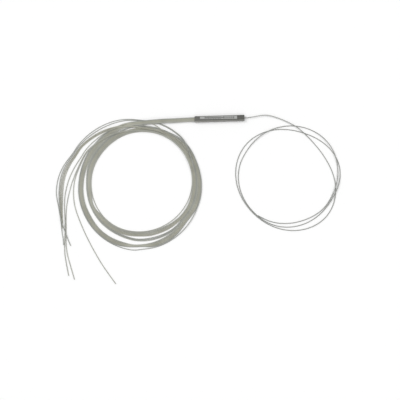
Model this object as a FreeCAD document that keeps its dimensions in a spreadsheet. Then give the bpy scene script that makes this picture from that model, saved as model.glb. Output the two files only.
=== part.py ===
"""Fibre splitter in a small steel tube: one buffered fibre in, eight out, both ends coiled and bare.

Millimetres.  The origin is the middle of the underside of the steel tube.
X runs along the tube towards the input cord, Z is up, and both coils lie on the negative Y side.
"""
import FreeCAD, Part
import Sketcher
import os
from math import cos, degrees, hypot, pi, radians, sin, tan
from FreeCAD import Placement, Rotation, Vector

DOC = FreeCAD.newDocument("fibre_splitter")

# ---------------------------------------------------------------- sizes

SIZES = (
    # steel tube and its printed film
    ("tube_length", "60"),
    ("tube_width", "7"),
    ("tube_height", "4"),
    ("wall", "0.3"),
    ("outer_corner", "0.8"),
    ("film_length", "45.5"),
    ("film_width", "4"),
    ("film_thickness", "0.08"),
    ("film_middle", "-1"),
    ("film_near_edge", "-1.4"),
    # plugs and cords
    ("plug_length", "4"),
    ("cord_diameter", "0.9"),
    ("cord_reach", "1.5"),
    ("cord_pitch", "0.6"),
    ("lower_row", "1.65"),
    ("upper_row", "2.35"),
    ("input_height", "2"),
    # glass parts
    ("bed_width", "2.8"),
    ("bed_thickness", "0.4"),
    ("chip_length", "16"),
    ("chip_width", "2.4"),
    ("light_height", "1.7"),
    ("guide_thickness", "0.04"),
    ("guide_width", "0.06"),
    ("cover_thickness", "1"),
    ("input_block_length", "6"),
    ("output_block_length", "8"),
    ("groove_pitch", "0.25"),
    ("bare_fibre", "0.125"),
    ("coated_fibre", "0.2"),
    ("bond_length", "1.4"),
    ("bond_half_height", "0.45"),
    # coils
    ("output_coil_height", "2"),
    ("crossing_height", "3.2"),
    ("input_coil_height", "2.3"),
)
OUTPUTS = 8
CORD_SIDES = 8
FIBRE_SIDES = 6

sheet = DOC.addObject("Spreadsheet::Sheet", "Sizes")
for row, (alias, value) in enumerate(SIZES, start=1):
    sheet.set("A%d" % row, alias)
    sheet.set("B%d" % row, value)
    sheet.setAlias("B%d" % row, alias)
DOC.recompute()


def size(alias):
    return float(getattr(sheet, alias))


NODES = []


def keep(node, name):
    node.Label = name
    NODES.append(node)
    return node


# ---------------------------------------------------------------- helpers for bodies

def new_body(name):
    return keep(DOC.addObject("PartDesign::Body", name), name)


def cross_section(body, name):
    """Sketch across the tube: its own x is the frame's Y, its own y is the frame's Z."""
    sketch = body.newObject("Sketcher::SketchObject", name)
    plane = [item for item in body.Origin.OriginFeatures if item.Role == "YZ_Plane"][0]
    sketch.AttachmentSupport = (plane, [""])
    sketch.MapMode = "FlatFace"
    return sketch


def bind_point(sketch, geometry, end, across, up):
    for kind, expression in (("DistanceX", across), ("DistanceY", up)):
        value = sketch.evalExpression(expression)
        value = float(getattr(value, "Value", value))
        index = sketch.addConstraint(Sketcher.Constraint(kind, -1, 1, geometry, end, value))
        sketch.setExpression("Constraints[%d]" % index, expression)


def draw_outline(sketch, corners):
    """Closed outline whose corners are pairs of expressions."""
    places = []
    for across, up in corners:
        places.append(Vector(float(sketch.evalExpression(across)), float(sketch.evalExpression(up)), 0))
    count = len(corners)
    for index in range(count):
        line = Part.LineSegment(places[index], places[(index + 1) % count])
        sketch.addGeometry(line, False)
    for index in range(count):
        following = (index + 1) % count
        sketch.addConstraint(Sketcher.Constraint("Coincident", index, 2, following, 1))
    for index, (across, up) in enumerate(corners):
        bind_point(sketch, index, 1, across, up)


def box_outline(half_width, bottom, top):
    left = "-(%s)" % half_width
    return ((left, bottom), (half_width, bottom), (half_width, top), (left, top))


def pad(body, name, sketch, length, centred=False):
    feature = body.newObject("PartDesign::Pad", name)
    feature.Profile = sketch
    feature.setExpression("Length", length)
    feature.Midplane = centred
    DOC.recompute()
    return feature


def cut_through(body, name, sketch):
    before = body.Shape.Volume
    feature = body.newObject("PartDesign::Pocket", name)
    feature.Profile = sketch
    feature.Type = "ThroughAll"
    feature.Midplane = True
    DOC.recompute()
    assert feature.Shape.Volume < before, name
    return feature


def round_corners(body, name, feature, half_width, bottom, top, radius):
    """Rounds the four long edges that run through the corners of one outline."""
    wanted = [(side * half_width, level) for side in (-1, 1) for level in (bottom, top)]
    near = 0.01
    names = []
    for index, edge in enumerate(feature.Shape.Edges, start=1):
        first = edge.Vertexes[0].Point
        last = edge.Vertexes[-1].Point
        along = abs(first.y - last.y) < near and abs(first.z - last.z) < near
        at_corner = any(hypot(first.y - y, first.z - z) < near for y, z in wanted)
        if along and at_corner:
            names.append("Edge%d" % index)
    fillet = body.newObject("PartDesign::Fillet", name)
    fillet.Base = (feature, names)
    fillet.setExpression("Radius", radius)
    DOC.recompute()
    return fillet


def box(name, length, width, height, start, near, bottom):
    """Plain block; every size and place is an expression."""
    block = keep(DOC.addObject("Part::Box", name), name)
    block.setExpression("Length", length)
    block.setExpression("Width", width)
    block.setExpression("Height", height)
    block.setExpression("Placement.Base.x", start)
    block.setExpression("Placement.Base.y", near)
    block.setExpression("Placement.Base.z", bottom)
    return block


# ---------------------------------------------------------------- housing

INNER_HALF = "Sizes.tube_width / 2 - Sizes.wall"
INNER_BOTTOM = "Sizes.wall"
INNER_TOP = "Sizes.tube_height - Sizes.wall"
INNER_CORNER = "Sizes.outer_corner - Sizes.wall"

inner_half = size("tube_width") / 2 - size("wall")
inner_top = size("tube_height") - size("wall")
# The cords end a little way inside their plugs.
cord_inner_end = size("tube_length") / 2 - size("plug_length") - size("cord_reach")

tube = new_body("steel_tube")
tube_outline = cross_section(tube, "TubeOutline")
draw_outline(tube_outline, box_outline("Sizes.tube_width / 2", "0", "Sizes.tube_height"))
pad(tube, "TubePad", tube_outline, "Sizes.tube_length", centred=True)
tube_hollow = cross_section(tube, "TubeHollow")
draw_outline(tube_hollow, box_outline(INNER_HALF, INNER_BOTTOM, INNER_TOP))
hollow = cut_through(tube, "TubePocket", tube_hollow)
rounded = round_corners(tube, "TubeOuterRound", hollow, size("tube_width") / 2, 0,
                        size("tube_height"), "Sizes.outer_corner")
round_corners(tube, "TubeInnerRound", rounded, inner_half, size("wall"), inner_top, INNER_CORNER)

box("label_film", "Sizes.film_length", "Sizes.film_width", "Sizes.film_thickness",
    "Sizes.film_middle - Sizes.film_length / 2", "Sizes.film_near_edge", "Sizes.tube_height")


def row_height(number):
    """The eight output cords sit in two rows, odd ones low and even ones high."""
    return "Sizes.lower_row" if number % 2 else "Sizes.upper_row"


def row_offset(number):
    return "(%.1f) * Sizes.cord_pitch" % (number - (OUTPUTS + 1) / 2)


def groove_offset(number):
    return "(%.1f) * Sizes.groove_pitch" % (number - (OUTPUTS + 1) / 2)


def plain_block(name, start, length, outline):
    """Block across the tube, cut later by what runs through it."""
    body = DOC.addObject("PartDesign::Body", name)
    section = cross_section(body, name + "_outline")
    draw_outline(section, outline)
    feature = pad(body, name + "_pad", section, length)
    body.setExpression("Placement.Base.x", start)
    DOC.recompute()
    return body, feature


def plug_block(name, start):
    body, feature = plain_block(name, start, "Sizes.plug_length",
                                box_outline(INNER_HALF, INNER_BOTTOM, INNER_TOP))
    round_corners(body, name + "_round", feature, inner_half, size("wall"), inner_top, INNER_CORNER)
    return body


input_plug_block = plug_block("input_plug_block", "Sizes.tube_length / 2 - Sizes.plug_length")
output_plug_block = plug_block("output_plug_block", "-Sizes.tube_length / 2")

# ---------------------------------------------------------------- glass parts on their soft bed

CHIP_HALF = "Sizes.chip_length / 2"
CHIP_NEAR = "-Sizes.chip_width / 2"
BED_TOP = "Sizes.wall + Sizes.bed_thickness"
GUIDE_BOTTOM = "Sizes.light_height - Sizes.guide_thickness / 2"
GUIDE_TOP = "Sizes.light_height + Sizes.guide_thickness / 2"
GROOVE_TOP = "Sizes.light_height + Sizes.bare_fibre / 2"

box("chip_bed", "Sizes.chip_length + Sizes.input_block_length + Sizes.output_block_length",
    "Sizes.bed_width", "Sizes.bed_thickness",
    "-Sizes.chip_length / 2 - Sizes.output_block_length", "-Sizes.bed_width / 2", "Sizes.wall")
box("chip_substrate", "Sizes.chip_length", "Sizes.chip_width",
    "%s - (%s)" % (GUIDE_BOTTOM, BED_TOP), "-" + CHIP_HALF, CHIP_NEAR, BED_TOP)
box("chip_cover", "Sizes.chip_length", "Sizes.chip_width", "Sizes.cover_thickness",
    "-" + CHIP_HALF, CHIP_NEAR, GUIDE_TOP)


def groove_block(name, start, length, count):
    """Block with V-grooves that hold the bare fibres flush with its top."""
    body = new_body(name)
    section = cross_section(body, name + "_outline")
    draw_outline(section, box_outline("Sizes.chip_width / 2", BED_TOP, GROOVE_TOP))
    pad(body, name + "_pad", section, length)
    # A sixty degree V touches the fibre when its tip is one fibre diameter below the axis.
    tip = "Sizes.light_height - Sizes.bare_fibre"
    half_opening = "1.5 * Sizes.bare_fibre * tan(30 deg)"
    first = "-(%d) * Sizes.groove_pitch / 2" % (count - 1)
    vee = cross_section(body, name + "_vee")
    draw_outline(vee, ((first, tip), ("%s + %s" % (first, half_opening), GROOVE_TOP),
                       ("%s - %s" % (first, half_opening), GROOVE_TOP)))
    groove = cut_through(body, name + "_groove", vee)
    if count > 1:
        row_of_grooves = body.newObject("PartDesign::LinearPattern", name + "_row")
        row_of_grooves.Originals = [groove]
        row_of_grooves.Direction = (vee, ["H_Axis"])
        row_of_grooves.setExpression("Length", "%d * Sizes.groove_pitch" % (count - 1))
        row_of_grooves.Occurrences = count
        body.Tip = row_of_grooves
        DOC.recompute()
        assert row_of_grooves.Shape.Volume < groove.Shape.Volume, name
    body.setExpression("Placement.Base.x", start)


OUTPUT_BLOCK_START = "-Sizes.chip_length / 2 - Sizes.output_block_length"
groove_block("input_groove_block", CHIP_HALF, "Sizes.input_block_length", 1)
groove_block("output_groove_block", OUTPUT_BLOCK_START, "Sizes.output_block_length", OUTPUTS)
box("input_groove_lid", "Sizes.input_block_length", "Sizes.chip_width", "Sizes.cover_thickness",
    CHIP_HALF, CHIP_NEAR, GROOVE_TOP)
box("output_groove_lid", "Sizes.output_block_length", "Sizes.chip_width", "Sizes.cover_thickness",
    OUTPUT_BLOCK_START, CHIP_NEAR, GROOVE_TOP)

BOND_OUTLINE = box_outline("Sizes.chip_width / 2", "Sizes.light_height - Sizes.bond_half_height",
                           "Sizes.light_height + Sizes.bond_half_height")
input_bond_block, bond_pad = plain_block(
    "input_bond_block", "Sizes.chip_length / 2 + Sizes.input_block_length", "Sizes.bond_length",
    BOND_OUTLINE)
output_bond_block, bond_pad = plain_block(
    "output_bond_block", OUTPUT_BLOCK_START + " - Sizes.bond_length", "Sizes.bond_length",
    BOND_OUTLINE)

# ---------------------------------------------------------------- sweeps


def rounded_route(points):
    """Straight runs joined by tangent arcs, as moves of a flat section along the route."""
    moves = []
    share = 0.45
    start = points[0]
    for before, corner, after in zip(points, points[1:], points[2:]):
        incoming = (corner - before).normalize()
        outgoing = (after - corner).normalize()
        half_turn = incoming.getAngle(outgoing) / 2
        setback = share * min((corner - before).Length, (after - corner).Length)
        radius = setback / tan(half_turn)
        inward = (outgoing - incoming).normalize()
        centre = corner + inward * (radius / cos(half_turn))
        moves.append(("run", corner - incoming * setback - start))
        moves.append(("bend", centre, incoming.cross(outgoing), 2 * half_turn, radius))
        start = corner + outgoing * setback
    moves.append(("run", points[-1] - start))
    return moves


def sweep(points, section):
    """Solid swept by a flat section; also gives its length and its tightest radius."""
    pieces = []
    length = 0
    tightest = None
    for move in rounded_route(points):
        if move[0] == "run":
            pieces.append(section.extrude(move[1]))
            section = section.translated(move[1])
            length += move[1].Length
        else:
            kind, centre, axis, angle, radius = move
            pieces.append(section.revolve(centre, axis, degrees(angle)))
            section = section.rotated(centre, axis, degrees(angle))
            length += angle * radius
            tightest = radius if tightest is None else min(tightest, radius)
    solid = pieces[0].multiFuse(pieces[1:]) if len(pieces) > 1 else pieces[0]
    return solid, length, tightest


def flat_section(point, direction, diameter, sides):
    """Section with its corners on the round surface, one at the top and one at the bottom."""
    across = Vector(0, 0, 1).cross(direction).normalize()
    upward = direction.cross(across).normalize()
    step = 2 * pi / sides
    corners = [point + across * (sin(step * index) * diameter / 2)
               + upward * (cos(step * index) * diameter / 2) for index in range(sides)]
    return Part.Face(Part.makePolygon(corners + corners[:1]))


def cord_sweep(points, diameter, sides):
    section = flat_section(points[0], points[1] - points[0], diameter, sides)
    solid, length, tightest = sweep(points, section)
    expected = section.Area * length
    assert abs(solid.Volume - expected) < 0.01 * expected, (solid.Volume, expected)
    return solid, length, tightest


def shape_node(name, shape):
    node = keep(DOC.addObject("Part::Feature", name), name)
    node.Shape = shape
    node.Placement = Placement(Vector(0, 0, 0), Rotation())
    return node


def cord_node(name, points):
    solid, length, tightest = cord_sweep(points, size("cord_diameter"), CORD_SIDES)
    print("%s: length %.0f mm, tightest radius %.0f mm" % (name, length, tightest))
    return shape_node(name, solid)


# ---------------------------------------------------------------- light path, one into eight

SPLITS = ((5.0, 0.5), (1.5, 0.25), (-2.0, 0.125))
SPLIT_RUN = 3.0
guide_width = size("guide_width")
guide_bottom = size("light_height") - size("guide_thickness") / 2
chip_end = size("chip_length") / 2


def straight_guide(start, end, across):
    corner = Vector(min(start, end), across - guide_width / 2, guide_bottom)
    return Part.makeBox(abs(end - start), guide_width, size("guide_thickness"), corner)


def bent_guide(start, end, across, shift):
    """S-bend: a quarter of the run straight at each end, tangent arcs between."""
    level = size("light_height")
    quarter = (end - start) / 4
    points = [Vector(start, across, level), Vector(start + quarter, across, level),
              Vector(end - quarter, across + shift, level), Vector(end, across + shift, level)]
    top = guide_bottom + size("guide_thickness")
    corners = [Vector(start, across + side * guide_width / 2, height)
               for side, height in ((-1, guide_bottom), (1, guide_bottom), (1, top), (-1, top))]
    section = Part.Face(Part.makePolygon(corners + corners[:1]))
    solid, length, tightest = sweep(points, section)
    return solid


guides = [straight_guide(chip_end, SPLITS[0][0], 0)]
branches = [0.0]
for stage, (start, shift) in enumerate(SPLITS):
    grown = []
    following = SPLITS[stage + 1][0] if stage + 1 < len(SPLITS) else -chip_end
    for across in branches:
        for side in (-1, 1):
            guides.append(bent_guide(start, start - SPLIT_RUN, across, side * shift))
            guides.append(straight_guide(start - SPLIT_RUN, following, across + side * shift))
            grown.append(across + side * shift)
    branches = grown
tree = guides[0].multiFuse(guides[1:]).removeSplitter()
shape_node("waveguide_tree", tree.Solids[0] if len(tree.Solids) == 1 else tree)

film = Part.makeBox(size("chip_length"), size("chip_width"), size("guide_thickness"),
                    Vector(-chip_end, -size("chip_width") / 2, guide_bottom))
glue = film.cut(tree)
shape_node("chip_glue_film", glue)

# ---------------------------------------------------------------- glass fibres inside the tube


def fibre_node(name, side, block_length, across, cord_across, cord_height):
    """Coated from the cord to the block, then bare along the V-groove to the chip."""
    block_end = side * (chip_end + block_length)
    cord_end = side * cord_inner_end
    lead_in = side * 1.7
    straight = side * 2.6
    level = size("light_height")
    points = [Vector(cord_end, cord_across, cord_height),
              Vector(cord_end - lead_in, cord_across, cord_height),
              Vector(block_end + straight, across, level),
              Vector(block_end, across, level)]
    coated, length, tightest = cord_sweep(points, size("coated_fibre"), FIBRE_SIDES)
    inward = Vector(-side, 0, 0)
    bare_end = flat_section(points[-1], inward, size("bare_fibre"), FIBRE_SIDES)
    bare = bare_end.extrude(inward * block_length)
    return shape_node(name, coated.fuse(bare).removeSplitter())


def value_of(expression):
    return float(sheet.evalExpression(expression.replace("Sizes.", "")))


input_fibre = fibre_node("input_fibre", 1, size("input_block_length"), 0.0, 0.0,
                         size("input_height"))
output_fibres = [fibre_node("output_fibre_%d" % number, -1, size("output_block_length"),
                            value_of(groove_offset(number)), value_of(row_offset(number)),
                            value_of(row_height(number)))
                 for number in range(1, OUTPUTS + 1)]

# ---------------------------------------------------------------- coils, closed outer shapes

OUTPUT_CENTRE = (-95.5, -73.5)
INPUT_CENTRE = (79.0, -74.5)
OUTLINE_STEP = 10
EDGE_MARGIN = 0.35
LEAD_FACE = -66.0
LEAD_DRIFT = -0.75
LEAD_RISE = 0.35
TAIL_FACE_ANGLE = 150.0


def swell(angle, middle, reach):
    """Smooth bump: one at the middle angle, nothing beyond the reach, in degrees."""
    away = abs((angle - middle + 180) % 360 - 180)
    return cos(radians(90 * away / reach)) ** 2 if away < reach else 0.0


def output_inner(angle):
    return (59.8 + 2.2 * swell(angle, 232, 55) + 0.7 * swell(angle, 65, 50)
            - 1.1 * swell(angle, 137, 40))


def output_outer(angle):
    return (71.2 + 12.6 * swell(angle, 252, 120) + 4.0 * swell(angle, 95, 65)
            + 1.6 * swell(angle, 150, 35))


def at(centre, angle, radius, height=0.0):
    return Vector(centre[0] + radius * cos(radians(angle)), centre[1] + radius * sin(radians(angle)),
                  height)


def arcs_through(points):
    """Chain of arcs, each through three points that follow each other."""
    return [Part.Arc(*points[index:index + 3]).toShape() for index in range(0, len(points) - 2, 2)]


def closed_curve(centre, radius_at, margin):
    points = [at(centre, angle, radius_at(angle) + margin)
              for angle in range(0, 360 + OUTLINE_STEP, OUTLINE_STEP)]
    return Part.Wire(arcs_through(points))


def ring(centre, inner_at, outer_at, height):
    outer = Part.Face(closed_curve(centre, outer_at, EDGE_MARGIN))
    inner = Part.Face(closed_curve(centre, inner_at, -EDGE_MARGIN))
    return outer.cut(inner).extrude(Vector(0, 0, height))


# Where the cords come in over the coil and the ends leave it, seen from above.
FAN_OUTSIDE = ((-66, 2.2), (-82, 2.4), (-98, 2.5), (-113, 2.1), (-127, 0.3), (-140, -4.2),
               (-151.5, -10.3), (-162.5, -18.3))
FAN_INSIDE = ((-108, -13.5), (-98, -8), (-86, -5), (-76, -4), (-66, -3.7))
FAN_OUTER_RADIUS = 90.0
FAN_TURN = 110

output_ring = ring(OUTPUT_CENTRE, output_inner, output_outer, size("output_coil_height"))
outside = [Vector(x, y, 0) for x, y in FAN_OUTSIDE]
outside.append(at(OUTPUT_CENTRE, TAIL_FACE_ANGLE, FAN_OUTER_RADIUS))
inner_arc = [at(OUTPUT_CENTRE, angle, output_inner(angle) - EDGE_MARGIN)
             for angle in range(int(TAIL_FACE_ANGLE), FAN_TURN - OUTLINE_STEP, -OUTLINE_STEP)]
inside = [Vector(x, y, 0) for x, y in FAN_INSIDE]
fan_edges = arcs_through(outside)
fan_edges.append(Part.LineSegment(outside[-1], inner_arc[0]).toShape())
fan_edges += arcs_through(inner_arc)
fan_edges += Part.makePolygon([inner_arc[-1]] + inside + [outside[0]]).Edges
fan = Part.Face(Part.Wire(fan_edges)).extrude(Vector(0, 0, size("crossing_height")))
shape_node("output_coil", output_ring.fuse(fan).removeSplitter().Solids[0])


def input_inner(angle):
    return 54.2 - 4.0 * swell(angle, 30, 70)


def input_outer(angle):
    return (62.2 + 3.9 * swell(angle, 295, 70) + 3.6 * swell(angle, 55, 60)
            + 2.4 * swell(angle, 150, 50))


INPUT_FACE = Vector(78.6, -4.7, 1.5)
INPUT_HEADING = Vector(0.896, -0.444, 0)
ENTRY_WIDTH = 1.8
ENTRY_LENGTH = 14.0

input_ring = ring(INPUT_CENTRE, input_inner, input_outer, size("input_coil_height"))
entry = Part.makeBox(ENTRY_LENGTH, ENTRY_WIDTH, size("input_coil_height"),
                     Vector(0, -ENTRY_WIDTH / 2, 0))
heading = Rotation(Vector(1, 0, 0), INPUT_HEADING)
entry.Placement = Placement(Vector(INPUT_FACE.x, INPUT_FACE.y, 0), heading)
shape_node("input_coil", input_ring.fuse(entry).removeSplitter().Solids[0])

# ---------------------------------------------------------------- cords outside the coils

FLOOR_LINE = size("cord_diameter") / 2

# The last run meets the coil's flat face squarely.
last_bend = INPUT_FACE - INPUT_HEADING * 9.0
input_lead = cord_node("input_lead",
                       [Vector(cord_inner_end, 0, size("input_height")),
                        Vector(37, 0, size("input_height")),
                        Vector(55, 3.8, 1.7),
                        Vector(last_bend.x, last_bend.y, INPUT_FACE.z),
                        INPUT_FACE])

LEAD_BENDS = (-37.0, -54.0)
output_leads = []
for number in range(1, OUTPUTS + 1):
    across = value_of(row_offset(number))
    height = value_of(row_height(number))
    route = [Vector(-cord_inner_end, across, height),
             Vector(LEAD_BENDS[0], across, height),
             Vector(LEAD_BENDS[1], across + LEAD_DRIFT, height + LEAD_RISE),
             Vector(LEAD_FACE, across + LEAD_DRIFT, height + LEAD_RISE)]
    output_leads.append(cord_node("output_lead_%d" % number, route))

# Each end: its radius where it leaves the coil, the length of its first run, then its route.
# A third number is the height of a point that is off the floor.
TAILS = (
    (74.9, 9.0, ((-169.3, -53), (-174.8, -66), (-177.3, -80), (-177, -95), (-174.2, -108),
                 (-168.8, -122.5), (-162.3, -138), (-154.5, -153.5), (-145.5, -170),
                 (-136.5, -183.5), (-128.1, -195.4))),
    (75.9, 10.0, ((-173, -58), (-178.6, -72), (-183, -88), (-185.7, -102.5), (-186.2, -116.5),
                  (-185.8, -130.5), (-186.4, -144.5), (-185, -158.5), (-180.8, -173.5),
                  (-176.3, -189))),
    (78.0, 9.0, ((-176, -54.5), (-183, -69.5), (-187, -85.5), (-188.2, -98.5), (-187.5, -112),
                 (-187.1, -125.5), (-187.6, -139.5), (-188, -152.5), (-187, -165),
                 (-183.1, -184.4))),
    (83.9, 9.0, ((-182, -52.5), (-188, -67), (-189.9, -82), (-190.4, -96), (-190.7, -109),
                 (-189.9, -122))),
    (84.9, 9.0, ((-183.4, -52), (-189.5, -66.5), (-191.5, -82), (-191.9, -95),
                 (-191.3, -105, 1.2), (-190.7, -115, 1.2))),
    (85.9, 9.0, ((-184.8, -51.5), (-191, -66), (-193, -82), (-193, -95), (-191.9, -108),
                 (-191.2, -118), (-190.3, -128))),
    (87.4, 9.0, ((-186.4, -51), (-192.5, -65.5), (-194.6, -82), (-194.3, -95),
                 (-192.8, -107, 1.35), (-192, -118, 1.6), (-188.6, -128, 1.55),
                 (-186.2, -135, 1.55), (-183.4, -142.5), (-180.6, -149))),
    (88.8, 9.0, ((-189, -51.5), (-195.7, -67), (-198.1, -84), (-195.9, -97), (-193.7, -109),
                 (-191.8, -122), (-190.9, -133), (-189.2, -141.5), (-189, -148))),
)
for number, (radius, first_run, route) in enumerate(TAILS, start=1):
    start = at(OUTPUT_CENTRE, TAIL_FACE_ANGLE, radius, FLOOR_LINE)
    away = Vector(-sin(radians(TAIL_FACE_ANGLE)), cos(radians(TAIL_FACE_ANGLE)), 0)
    points = [start, start + away * first_run]
    for place in route:
        height = place[2] if len(place) > 2 else FLOOR_LINE
        points.append(Vector(place[0], place[1], height))
    cord_node("output_tail_%d" % number, points)

# ---------------------------------------------------------------- parts cast round the fibres


def cast_round(name, block, through):
    """The block less what runs through it, as if it had been poured round it."""
    tool = through[0]
    if len(through) > 1:
        tool = DOC.addObject("Part::MultiFuse", name + "_hollow")
        tool.Shapes = through
    cast = keep(DOC.addObject("Part::Cut", name), name)
    cast.Base = block
    cast.Tool = tool


cast_round("input_end_plug", input_plug_block, [input_lead])
cast_round("output_end_plug", output_plug_block, output_leads)
cast_round("input_bond", input_bond_block, [input_fibre])
cast_round("output_bond", output_bond_block, output_fibres)

# ---------------------------------------------------------------- checks and files

DOC.recompute()
for item in DOC.Objects:
    assert "Invalid" not in item.State and "Error" not in item.State, item.Label

os.makedirs("parts", exist_ok=True)
for node in NODES:
    assert not node.Shape.isNull() and node.Shape.isValid(), node.Label
    node.Shape.exportStep("parts/%s.step" % node.Label)
print(len(NODES), "nodes")
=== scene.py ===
"""Looks of the fibre splitter: single strands in place of the plain coils, finishes, floor, light."""

import bpy
from math import cos, pi, radians, sin, sqrt
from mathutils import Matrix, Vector


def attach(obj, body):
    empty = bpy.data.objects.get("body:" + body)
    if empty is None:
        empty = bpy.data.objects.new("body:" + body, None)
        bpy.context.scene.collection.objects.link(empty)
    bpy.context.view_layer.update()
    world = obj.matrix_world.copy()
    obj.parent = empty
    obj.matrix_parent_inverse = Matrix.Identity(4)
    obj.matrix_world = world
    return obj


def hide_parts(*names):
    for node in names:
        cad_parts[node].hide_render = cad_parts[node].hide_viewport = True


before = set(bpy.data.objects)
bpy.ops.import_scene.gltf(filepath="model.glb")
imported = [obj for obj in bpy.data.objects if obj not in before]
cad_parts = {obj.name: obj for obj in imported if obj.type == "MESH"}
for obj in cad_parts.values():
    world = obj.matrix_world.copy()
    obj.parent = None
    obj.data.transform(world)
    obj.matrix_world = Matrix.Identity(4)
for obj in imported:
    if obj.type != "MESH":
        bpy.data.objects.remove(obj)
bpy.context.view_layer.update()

# Lengths are in millimetres and angles in degrees.
MM = 0.001
CORD = 0.9
FLOOR_LINE = CORD / 2
STRANDS = 8
TUBE_END = -30.0

# ---------------------------------------------------------------- materials

# Between these two values of the noise one colour turns into the other.
NOISE_BLEND = (0.35, 0.65)
# Waves of the noise to the metre: along the tube and across it, and on a cord.
STEEL_GRAIN = (120, 2600, 2600)
CORD_GRAIN = (60, 60, 60)


def shader_of(made):
    return made.node_tree.nodes["Principled BSDF"]


def material(name, colour, metallic=0.0, roughness=0.5, alpha=1.0):
    made = bpy.data.materials.new(name)
    made.use_nodes = True
    shader = shader_of(made)
    shader.inputs["Base Color"].default_value = (*colour, 1.0)
    shader.inputs["Metallic"].default_value = metallic
    shader.inputs["Roughness"].default_value = roughness
    shader.inputs["Alpha"].default_value = alpha
    return made


def object_coordinates(made, scale=(1, 1, 1)):
    """Object coordinates, stretched by a scale for each axis."""
    nodes = made.node_tree.nodes
    coordinates = nodes.new("ShaderNodeTexCoord")
    stretch = nodes.new("ShaderNodeMapping")
    stretch.inputs["Scale"].default_value = scale
    made.node_tree.links.new(coordinates.outputs["Object"], stretch.inputs["Vector"])
    return stretch.outputs["Vector"]


def mottle(made, first, second, grain, detail=3.0):
    """Base colour that wanders between two colours."""
    nodes, links = made.node_tree.nodes, made.node_tree.links
    noise = nodes.new("ShaderNodeTexNoise")
    noise.inputs["Scale"].default_value = 1.0
    noise.inputs["Detail"].default_value = detail
    links.new(object_coordinates(made, grain), noise.inputs["Vector"])
    blend = nodes.new("ShaderNodeValToRGB")
    for stop, position, colour in zip(blend.color_ramp.elements, NOISE_BLEND, (first, second)):
        stop.position = position
        stop.color = (*colour, 1.0)
    links.new(noise.outputs["Fac"], blend.inputs["Fac"])
    links.new(blend.outputs["Color"], shader_of(made).inputs["Base Color"])
    return noise


def relief(made, noise, strength, depth):
    """Small bumps where the noise is high."""
    nodes, links = made.node_tree.nodes, made.node_tree.links
    bump = nodes.new("ShaderNodeBump")
    bump.inputs["Strength"].default_value = strength
    bump.inputs["Distance"].default_value = depth * MM
    links.new(noise.outputs["Fac"], bump.inputs["Height"])
    links.new(bump.outputs["Normal"], shader_of(made).inputs["Normal"])


def shade_along(made, axis, start, end, start_share, end_share):
    """Base colour times a share that goes from one value to another along an axis."""
    nodes, links = made.node_tree.nodes, made.node_tree.links
    parts = nodes.new("ShaderNodeSeparateXYZ")
    links.new(object_coordinates(made), parts.inputs["Vector"])
    share = nodes.new("ShaderNodeMapRange")
    share.inputs["From Min"].default_value = start * MM
    share.inputs["From Max"].default_value = end * MM
    share.inputs["To Min"].default_value = start_share
    share.inputs["To Max"].default_value = end_share
    links.new(parts.outputs[axis], share.inputs["Value"])
    shaded = nodes.new("ShaderNodeVectorMath")
    shaded.operation = "SCALE"
    base = shader_of(made).inputs["Base Color"]
    links.new(base.links[0].from_socket, shaded.inputs[0])
    links.new(share.outputs["Result"], shaded.inputs["Scale"])
    links.new(shaded.outputs["Vector"], base)


def tube_steel():
    """Drawn steel, a little lighter towards the output end, with a painted reflection along the near
    edge.
    """
    made = material("steel", (0.115, 0.115, 0.107), metallic=1.0, roughness=0.2)
    grain = mottle(made, (0.1, 0.1, 0.092), (0.14, 0.14, 0.13), STEEL_GRAIN)
    relief(made, grain, strength=0.15, depth=0.02)
    shade_along(made, "X", TUBE_END, -TUBE_END, 1.24, 1.0)
    # Painted reflection: the base colour half as light again along the near edge of the tube.
    shade_along(made, "Y", -2, -3, 1.0, 1.5)
    return made


def cord_jacket(name, first, second):
    """Satin jacket, with painted light: its colour a little lighter beside the tube than in the coil.
    """
    made = material(name, first, roughness=0.38)
    mottle(made, first, second, CORD_GRAIN, detail=1.0)
    # Painted light: the base colour lighter towards the tube, over the lead and the top of the coil.
    shade_along(made, "Y", -14, -3, 1.0, 1.12)
    return made


STEEL = tube_steel()
FILM = material("film", (0.345, 0.35, 0.34), roughness=0.42)
PRINT = material("print", (0.105, 0.105, 0.1), roughness=0.5)
PLUG = material("plug", (0.05, 0.05, 0.052), roughness=0.62)
SOFT = material("soft_adhesive", (0.8, 0.8, 0.78), roughness=0.7)
ADHESIVE = material("adhesive", (0.8, 0.74, 0.5), roughness=0.15, alpha=0.7)
CHIP = material("chip", (0.2, 0.22, 0.28), roughness=0.12)
GLASS = material("glass", (0.85, 0.93, 0.93), roughness=0.05, alpha=0.45)

# ---------------------------------------------------------------- rigid pieces of the frame

NODE_FINISHES = {
    "steel_tube": STEEL,
    "label_film": FILM,
    "input_end_plug": PLUG,
    "output_end_plug": PLUG,
    "chip_bed": SOFT,
    "chip_substrate": CHIP,
    "chip_glue_film": ADHESIVE,
    "input_bond": ADHESIVE,
    "output_bond": ADHESIVE,
}
CORD_WORDS = ("lead", "coil", "tail")

for name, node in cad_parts.items():
    if not any(word in name for word in CORD_WORDS):
        node.data.materials.clear()
        node.data.materials.append(NODE_FINISHES.get(name, GLASS))

# ---------------------------------------------------------------- shape of the output coil

OUTPUT_CENTRE = (-95.5, -73.5)
LAST_SLOT = 2 * STRANDS

# Radius inside and outside the coil: the plain one, and the swells on it. A swell has how much
# it adds, round which angle, and how far it reaches to each side of it.
OUTPUT_INNER = 59.8
OUTPUT_INNER_SWELLS = ((2.4, 236, 55), (0.5, 197, 35), (0.4, 280, 26), (0.7, 65, 50), (-1.1, 137, 40))
OUTPUT_OUTER = 71.2
OUTPUT_OUTER_SWELLS = ((12.6, 252, 120), (4.0, 95, 65), (1.6, 150, 35), (-0.8, 217, 42),
                       (-1.5, 21, 27), (0.4, 345, 16), (0.7, 263, 15), (-1.1, 271, 9))

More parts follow.
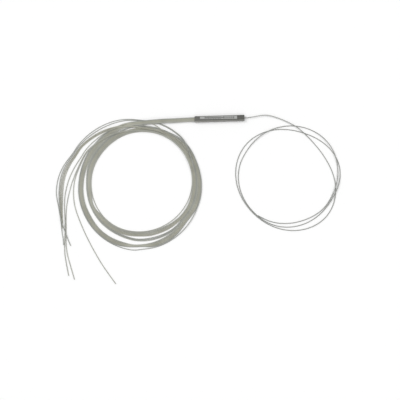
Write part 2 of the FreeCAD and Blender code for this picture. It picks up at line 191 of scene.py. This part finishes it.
# Where strands of the coil draw apart, or together: between which two slots, then a swell.
OUTPUT_SPREADS = (
    (1, 2, 2.1, 206, 14), (1, 2, 2.2, 321, 36), (1, 6, 0.6, 275, 20), (1, 8, 1.0, 70, 28),
    (6, 7, 2.3, 101, 8), (6, 7, 2.7, 265, 16), (6, 7, 2.0, 287, 28), (6, 7, 1.3, 306, 10),
    (7, 9, 0.5, 276, 20),
    (1, 9, -1.8, 180, 25), (2, 9, -3.4, 207, 18),
    (9, 10, 3.4, 188, 32), (9, 10, 5.9, 235, 56), (9, 10, 1.7, 278, 24), (9, 10, 0.9, 262, 12),
    (10, 15, -2.9, 265, 19),
    (15, 16, 3.2, 264, 17), (15, 16, 2.9, 315, 19),
)


def swell(angle, height, middle, reach):
    """Smooth bump: its height at the middle angle, nothing beyond its reach."""
    away = abs((angle - middle + 180) % 360 - 180)
    return height * cos(radians(90 * away / reach)) ** 2 if away < reach else 0.0


def ease(value, start, end):
    """From 0 at the start to 1 at the end, flat at both."""
    share = min(1.0, max(0.0, (value - start) / (end - start)))
    return share * share * (3 - 2 * share)


def output_slot(angle, slot):
    """Radius of a slot, and how far it is to the next one, where nothing spreads."""
    inner = OUTPUT_INNER + sum(swell(angle, *bump) for bump in OUTPUT_INNER_SWELLS) + CORD / 2
    outer = OUTPUT_OUTER + sum(swell(angle, *bump) for bump in OUTPUT_OUTER_SWELLS) - CORD / 2
    spreads = [(first, last, swell(angle, *bump)) for first, last, *bump in OUTPUT_SPREADS]
    pitch = (outer - inner - sum(width for first, last, width in spreads)) / (LAST_SLOT - 1)
    passed = sum(width * ease(slot, first, last) for first, last, width in spreads)
    return inner + pitch * (slot - 1) + passed, pitch


def coil_point(centre, angle, radius, height, step):
    """Point of a coiled route. The cord touches the sides between such points, not the points,
    so they lie a little further out than the cord."""
    reach = radius / cos(radians(step / 2))
    return Vector((centre[0] + reach * cos(radians(angle)), centre[1] + reach * sin(radians(angle)),
                   height))


# ---------------------------------------------------------------- routes of the output cords

# Out of the plug in two rows, and over the coil side by side.
ROW_PITCH = 0.6
LOWER_ROW = 1.65
UPPER_ROW = 2.35
CORD_INNER_END = -24.5
LEAD_BENDS = (-37.0, -54.0)
LEAD_FACE = -66.0
LEAD_DRIFT = -0.75
LEAD_RISE = 0.35
OVER_COIL = -80.0
OVER_COIL_DRIFT = -1.4

# Round the coil. The pairs are degrees turned, from where to where the cords join the coil,
# come down to the floor, and go from the outer slots of the first turn to the inner slots of
# the second, each cord a little after the one before it.
OUTPUT_STEP = 7.5
ENTRY_ANGLE = 97.5
ENTRY_RADIUS = 71.2
JOINING = (ENTRY_ANGLE, 125)
SETTLING = (80, 112)
INWARD = (374, 414)
INWARD_DELAY = 2.0
# The last three ends move back to the outer slots before they leave.
OUTWARD = {6: (782, 804), 7: (735, 768), 8: (735, 768)}

# Away from the coil, by degrees of the last turn: where each end starts to leave, how much
# faster it goes at first than at last, and from where to where it lies over the rest.
TURNED_BEFORE_LAST = 720
LEAVING = ((92, -0.1, ((2, 136),)), (92, -0.1, ((4, 128),)), (60, 0.1, ((6, 122),)),
           (86, 0.02, ((8, 110),)), (86, 0.02, ((10, 110),)), (110, 0.15, ((12, 66), (90, 126))),
           (90, 0.0, ((0, 44),)), (92, 0.42, ((0, 44),)))
OVER_RISE = 0.9
CLIMB = 16.0
# Share of the way out at which an end is down on the floor.
FLOOR_REACHED = 0.5

# Each loose end: its radius at the last angle of the coil, how far it goes straight on, and
# its further points. A third number is the height where it lies over another end.
LAST_ANGLE = 150.0
TAILS = (
    (74.9, 9.0, ((-169.3, -53), (-174.8, -66), (-177.3, -80), (-177, -95), (-174.2, -108),
                 (-168.8, -122.5), (-162.3, -138), (-154.5, -153.5), (-145.5, -170),
                 (-136.5, -183.5), (-128.1, -195.4))),
    (75.9, 10.0, ((-173, -58), (-178.6, -72), (-183, -88), (-185.7, -102.5), (-186.2, -116.5),
                  (-185.8, -130.5), (-186.4, -144.5), (-185, -158.5), (-180.8, -173.5),
                  (-176.3, -189))),
    (78.0, 9.0, ((-176, -54.5), (-183, -69.5), (-187, -85.5), (-188.2, -98.5), (-187.5, -112),
                 (-187.1, -125.5), (-187.6, -139.5), (-188, -152.5), (-187, -165),
                 (-183.1, -184.4))),
    (83.9, 9.0, ((-182, -52.5), (-188, -67), (-189.9, -82), (-190.4, -96), (-190.7, -109),
                 (-189.9, -122))),
    (84.9, 9.0, ((-183.4, -52), (-189.5, -66.5), (-191.5, -82), (-191.9, -95),
                 (-191.3, -105, 1.2), (-190.7, -115, 1.2))),
    (85.9, 9.0, ((-184.8, -51.5), (-191, -66), (-193, -82), (-193, -95), (-191.9, -108),
                 (-191.2, -118), (-190.3, -128))),
    (87.4, 9.0, ((-186.4, -51), (-192.5, -65.5), (-194.6, -82), (-194.3, -95),
                 (-192.8, -107, 1.35), (-192, -118, 1.6), (-188.6, -128, 1.55),
                 (-186.2, -135, 1.55), (-183.4, -142.5), (-180.6, -149))),
    (88.8, 9.0, ((-189, -51.5), (-195.7, -67), (-198.1, -84), (-195.9, -97), (-193.7, -109),
                 (-191.8, -122), (-190.9, -133), (-189.2, -141.5), (-189, -148))),
)


def lead_route(across, height, over):
    """From inside the plug to above the coil."""
    return [Vector((CORD_INNER_END, across, height)),
            Vector((LEAD_BENDS[0], across, height)),
            Vector((LEAD_BENDS[1], across + LEAD_DRIFT, over)),
            Vector((LEAD_FACE, across + LEAD_DRIFT, over)),
            Vector((OVER_COIL, across + OVER_COIL_DRIFT, over))]


def slot_of(number, turned):
    """Slot of a cord, counted from the inside of the coil."""
    delay = INWARD_DELAY * number
    outer_share = 1 - ease(turned, INWARD[0] + delay, INWARD[1] + delay)
    if number in OUTWARD:
        outer_share += ease(turned, *OUTWARD[number])
    return number + STRANDS * outer_share


def nested_rise(number, pitch):
    """How far every second cord is pushed up by its neighbours, where they lie close."""
    return sqrt(max(0.0, CORD ** 2 - pitch ** 2)) if number % 2 == 0 else 0.0


def coiled_place(number, turned, across, over):
    """Radius and height of a cord round the coil."""
    radius, pitch = output_slot(turned, slot_of(number, turned))
    joined = ease(turned, *JOINING)
    radius = (1 - joined) * (ENTRY_RADIUS + across) + joined * radius
    down = ease(turned, *SETTLING)
    height = (1 - down) * over + down * (FLOOR_LINE + nested_rise(number, pitch))
    return radius, height


def leaving_place(number, turned):
    """Radius and height of a cord on its last turn, where it works its way out of the coil."""
    angle = turned - TURNED_BEFORE_LAST
    leave, haste, humps = LEAVING[number - 1]
    slot = slot_of(number, turned)
    radius, pitch = output_slot(turned, slot)
    passed = max(0.0, (angle - leave) / (LAST_ANGLE - leave))
    share = passed * (1 + haste * (1 - passed))
    radius += share * (TAILS[number - 1][0] - output_slot(LAST_ANGLE, slot)[0])
    over_rest = sum(ease(angle, start, start + CLIMB) - ease(angle, end, end + CLIMB)
                    for start, end in humps)
    nested = nested_rise(number, pitch) * (1 - ease(share, 0, FLOOR_REACHED))
    return radius, FLOOR_LINE + nested + OVER_RISE * over_rest


def tail_route(number, start):
    """From the coil to the bare end."""
    first_run, points = TAILS[number - 1][1:]
    onward = Vector((-sin(radians(LAST_ANGLE)), cos(radians(LAST_ANGLE)), 0))
    route = [start + onward * first_run]
    for point in points:
        height = point[2] if len(point) > 2 else FLOOR_LINE
        route.append(Vector((point[0], point[1], height)))
    return route


def output_route(number):
    across = ROW_PITCH * (number - (STRANDS + 1) / 2)
    height = UPPER_ROW if number % 2 == 0 else LOWER_ROW
    over = height + LEAD_RISE
    route = lead_route(across, height, over)
    steps = int((TURNED_BEFORE_LAST + LAST_ANGLE - ENTRY_ANGLE) / OUTPUT_STEP)
    for index in range(steps + 1):
        turned = ENTRY_ANGLE + index * OUTPUT_STEP
        if turned > TURNED_BEFORE_LAST:
            radius, rise = leaving_place(number, turned)
        else:
            radius, rise = coiled_place(number, turned, across, over)
        route.append(coil_point(OUTPUT_CENTRE, turned, radius, rise, OUTPUT_STEP))
    return route + tail_route(number, route[-1])


# ---------------------------------------------------------------- route of the input cord

# In from the tube, down over the coil, then clockwise turns.
INPUT_CENTRE = (79.0, -74.5)
INPUT_LEAD = ((24.5, 0, 2), (37, 0, 2), (55, 3.8, 1.7), (70.54, -0.7, 1.5))
INPUT_START = 80.0
INPUT_TURNED = 930
INPUT_STEP = 10
# Where the cord runs nearest to the centre or farthest from it: degrees turned, radius.
INPUT_SWINGS = ((50, 50.9), (139, 66.0), (223, 60.0), (297, 63.9), (368, 58.0), (428, 63.7),
                (477, 57.9), (546, 60.4), (583, 58.8), (636, 59.1), (650, 58.4), (748, 65.4),
                (836, 56.5), (873, 54.8), (938, 58.7))
# The cord comes in from further out: by how much, over what turn, how steeply.
INPUT_COMING = (13.6, 50, 2.3)
# Where the cord lies over another of its own turns: degrees turned, reach to each side.
INPUT_HUMPS = ((0, 26), (460, 22), (685, 24), (768, 24), (810, 20))
HUMP_HEIGHT = 1.02 * CORD
# Share of a hump's reach over which it rises.
HUMP_SLOPE = 0.6


def input_radius(turned):
    """Radius of the input coil, from swing to swing."""
    radius = INPUT_SWINGS[0][1]
    for (start, before), (end, after) in zip(INPUT_SWINGS, INPUT_SWINGS[1:]):
        if turned >= start:
            radius = before + (after - before) * ease(turned, start, end)
    extra, reach, power = INPUT_COMING
    return radius + extra * max(0.0, 1 - turned / reach) ** power


def input_rise(turned):
    """Share of a hump's height: 1 on its top, 0 away from every hump."""
    return max(ease(reach - abs(turned - middle), 0, reach * HUMP_SLOPE)
               for middle, reach in INPUT_HUMPS)


def input_route():
    route = [Vector(point) for point in INPUT_LEAD]
    for turned in range(0, INPUT_TURNED + INPUT_STEP, INPUT_STEP):
        height = FLOOR_LINE + HUMP_HEIGHT * input_rise(turned)
        route.append(coil_point(INPUT_CENTRE, INPUT_START - turned, input_radius(turned), height,
                                INPUT_STEP))
    return route


# ---------------------------------------------------------------- cords

# How fine a cord's mesh is: round the cord, and between two points of its route.
ROUND_STEPS = 3
ROUTE_STEPS = 4

# The two colours between which each jacket wanders.
OUTPUT_COLOURS = (
    ((0.343, 0.348, 0.306), (0.387, 0.392, 0.344)),
    ((0.348, 0.353, 0.31), (0.392, 0.397, 0.349)),
    ((0.319, 0.323, 0.286), (0.363, 0.367, 0.32)),
    ((0.353, 0.353, 0.291), (0.397, 0.397, 0.329)),
    ((0.343, 0.338, 0.282), (0.387, 0.382, 0.32)),
    ((0.348, 0.348, 0.291), (0.392, 0.392, 0.329)),
    ((0.294, 0.304, 0.277), (0.333, 0.338, 0.31)),
    ((0.289, 0.299, 0.277), (0.328, 0.338, 0.31)),
)
# The input cord's colours are darker than the output ones: painted shade, for the dark edges and
# contact shadow of a strand lying alone.
INPUT_COLOURS = ((0.25, 0.258, 0.24), (0.295, 0.295, 0.277))


def strand(name, route, finish):
    """Round cord along a smooth curve."""
    data = bpy.data.curves.new(name, "CURVE")
    data.dimensions = "3D"
    data.bevel_depth = CORD / 2 * MM
    data.bevel_resolution = ROUND_STEPS
    data.resolution_u = ROUTE_STEPS
    data.use_fill_caps = True
    spline = data.splines.new("NURBS")
    spline.points.add(len(route) - 1)
    for point, spot in zip(spline.points, route):
        point.co = (*(spot * MM), 1.0)
    spline.order_u = 3
    spline.use_endpoint_u = True
    data.materials.append(finish)
    piece = bpy.data.objects.new(name, data)
    bpy.context.scene.collection.objects.link(piece)
    return piece


def output_cord(number, colours):
    route = output_route(number)
    piece = strand("output_cord_%d" % number, route, cord_jacket("cord_%d" % number, *colours))
    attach(piece, "root")
    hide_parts("output_lead_%d" % number, "output_coil", "output_tail_%d" % number)


def input_cord():
    route = input_route()
    piece = strand("input_cord", route, cord_jacket("cord_in", *INPUT_COLOURS))
    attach(piece, "root")
    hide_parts("input_lead", "input_coil")


for number, colours in enumerate(OUTPUT_COLOURS, start=1):
    output_cord(number, colours)
input_cord()

# ---------------------------------------------------------------- print on the film

film_corners = [Vector(corner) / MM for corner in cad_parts["label_film"].bound_box]
FILM_LEFT = min(corner.x for corner in film_corners)
FILM_RIGHT = max(corner.x for corner in film_corners)
FILM_NEAR = min(corner.y for corner in film_corners)
FILM_FAR = max(corner.y for corner in film_corners)
FILM_TOP = max(corner.z for corner in film_corners)

# The print stands a hair above the film, and its near edge leans against the film's by this
# much from end to end.
PRINT_RISE = 0.01
PRINT_LEAN = 1.2
END_BAND = 0.9
# The marks lie between a bare panel at each end of the film.
MARKS_LEFT = FILM_LEFT + 5.6
MARKS_RIGHT = FILM_RIGHT - 4.2
BLOCK_LEFT = FILM_RIGHT - 16.5
# Distances of the marks from the near edge of the print: low and high side.
LONG_LINE = (1.3, 2.15)
NEAR_ROW = (0.25, 0.85)
FAR_ROW = (2.4, 2.75)
FIRST_BAR = (0.6, 3.0)
FINE_BARS = (0.6, 2.9)
LAST_BAR = (0.5, 3.1)
# Widths of the bars along the print, over and over, and the gaps between them.
ROW_WIDTHS = (1.6, 0.9, 2.2, 1.2, 0.8, 1.9)
NEAR_ROW_GAP = 0.6
FAR_ROW_GAP = 0.5
FINE_WIDTHS = (0.6, 0.3, 0.3)
FINE_GAP = 0.5
FIRST_BAR_WIDTH = 0.9
LAST_BAR_WIDTH = 1.1
# Room left bare between the long line, the rows and the block of fine bars.
LINE_ROOM = 0.6
ROW_ROOM = 3.0
BLOCK_ROOM = 0.6
LAST_BAR_ROOM = 0.1


def print_edge(across):
    """Near edge of the print."""
    return FILM_NEAR + PRINT_LEAN * (FILM_RIGHT - across) / (FILM_RIGHT - FILM_LEFT)


def mark(left, right, span):
    """Four corners of one mark."""
    low, high = span
    return ((left, print_edge(left) + low), (right, print_edge(right) + low),
            (right, print_edge(right) + high), (left, print_edge(left) + high))


def bars(left, right, span, widths, gap):
    """Row of bars, each of which starts before the right end."""
    row = []
    across = left
    while across < right:
        width = widths[len(row) % len(widths)]
        row.append(mark(across, across + width, span))
        across += width + gap
    return row


def print_marks():
    """Generic print that says nothing: dark edges, a long line between two rows of short bars,
    and a block of fine bars."""
    near_edge = ((FILM_LEFT, FILM_NEAR), (FILM_RIGHT, FILM_NEAR), (FILM_LEFT, print_edge(FILM_LEFT)))
    band_left = FILM_RIGHT - END_BAND
    end_band = ((band_left, FILM_NEAR), (FILM_RIGHT, FILM_NEAR),
                (FILM_RIGHT, FILM_FAR), (band_left, FILM_FAR))
    rows_right = BLOCK_LEFT - ROW_ROOM
    last_bar_left = MARKS_RIGHT - LAST_BAR_WIDTH
    return [near_edge, end_band,
            mark(MARKS_LEFT, BLOCK_LEFT - LINE_ROOM, LONG_LINE),
            *bars(MARKS_LEFT, rows_right, NEAR_ROW, ROW_WIDTHS, NEAR_ROW_GAP),
            *bars(MARKS_LEFT, rows_right, FAR_ROW, ROW_WIDTHS, FAR_ROW_GAP),
            mark(BLOCK_LEFT - FIRST_BAR_WIDTH, BLOCK_LEFT, FIRST_BAR),
            *bars(BLOCK_LEFT + BLOCK_ROOM, last_bar_left - LAST_BAR_ROOM,
                  FINE_BARS, FINE_WIDTHS, FINE_GAP),
            mark(last_bar_left, MARKS_RIGHT, LAST_BAR)]


def flat_piece(name, outlines, level, finish):
    """Flat outlines side by side, as one piece."""
    corners = []
    faces = []
    for outline in outlines:
        faces.append(tuple(range(len(corners), len(corners) + len(outline))))
        corners += [(across * MM, up * MM, level * MM) for across, up in outline]
    mesh = bpy.data.meshes.new(name)
    mesh.from_pydata(corners, [], faces)
    mesh.materials.append(finish)
    piece = bpy.data.objects.new(name, mesh)
    bpy.context.scene.collection.objects.link(piece)
    return piece


label_print = flat_piece("label_print", print_marks(), FILM_TOP + PRINT_RISE, PRINT)
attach(label_print, "root")

# ---------------------------------------------------------------- floor

FLOOR_HALF = 6000.0
FLOOR = material("floor", (0.93, 0.93, 0.93), roughness=0.9)
shader_of(FLOOR).inputs["Specular IOR Level"].default_value = 0.0
floor_outline = ((-FLOOR_HALF, -FLOOR_HALF), (FLOOR_HALF, -FLOOR_HALF),
                 (FLOOR_HALF, FLOOR_HALF), (-FLOOR_HALF, FLOOR_HALF))
flat_piece("floor", [floor_outline], 0.0, FLOOR)

# ---------------------------------------------------------------- light

# Shares of the light on an open, level floor: the sky's, then each lamp's.
SKY_SHARE = 0.5
LAMPS = (("key", (-0.75, 0.4, 0.9), 0.26), ("fill", (0.8, 0.1, 0.9), 0.22),
         ("front", (-0.1, -0.8, 0.9), 0.1))
LAMP_SPREAD = 40.0


def studio_sky():
    """Sky that is seen and mirrored as white, and lights no more than its share."""
    world = bpy.data.worlds.new("studio")
    bpy.context.scene.world = world
    world.use_nodes = True
    nodes, links = world.node_tree.nodes, world.node_tree.links
    nodes["Background"].inputs["Color"].default_value = (1, 1, 1, 1)
    rays = nodes.new("ShaderNodeLightPath")
    seen = rays.outputs["Is Camera Ray"]
    for other in ("Is Glossy Ray", "Is Transmission Ray"):
        either = nodes.new("ShaderNodeMath")
        either.operation = "MAXIMUM"
        links.new(seen, either.inputs[0])
        links.new(rays.outputs[other], either.inputs[1])
        seen = either.outputs["Value"]
    strength = nodes.new("ShaderNodeMapRange")
    strength.inputs["To Min"].default_value = SKY_SHARE
    strength.inputs["To Max"].default_value = 1.0
    links.new(seen, strength.inputs["Value"])
    links.new(strength.outputs["Result"], nodes["Background"].inputs["Strength"])


def wide_lamp(name, direction, share):
    """Lamp far away in a direction, with its share of the light on a level floor."""
    upward = Vector(direction).normalized()
    data = bpy.data.lights.new(name, "SUN")
    data.angle = radians(LAMP_SPREAD)
    data.energy = share * pi / upward.z
    lamp = bpy.data.objects.new(name, data)
    lamp.rotation_euler = (-upward).to_track_quat("-Z", "Y").to_euler()
    bpy.context.scene.collection.objects.link(lamp)


studio_sky()
for name, direction, share in LAMPS:
    wide_lamp(name, direction, share)

# ---------------------------------------------------------------- camera

# It looks down from the near side, square to the tube but for a small turn.
CAMERA_TARGET = Vector((-26.69, -98.77, 0))
CAMERA_DISTANCE = 1000.0
CAMERA_ELEVATION = 80.0
CAMERA_TURN = -1.73
CAMERA_LENS = 75.6


def camera_above():
    turn = radians(CAMERA_TURN)
    slope = radians(CAMERA_ELEVATION)
    toward = Vector((sin(turn) * cos(slope), -cos(turn) * cos(slope), sin(slope)))
    data = bpy.data.cameras.new("camera")
    data.lens = CAMERA_LENS
    camera = bpy.data.objects.new("camera", data)
    camera.location = (CAMERA_TARGET + CAMERA_DISTANCE * toward) * MM
    camera.rotation_euler = (-toward).to_track_quat("-Z", "Y").to_euler()
    bpy.context.scene.collection.objects.link(camera)
    bpy.context.scene.camera = camera


camera_above()
bpy.context.scene.view_settings.view_transform = "Standard"
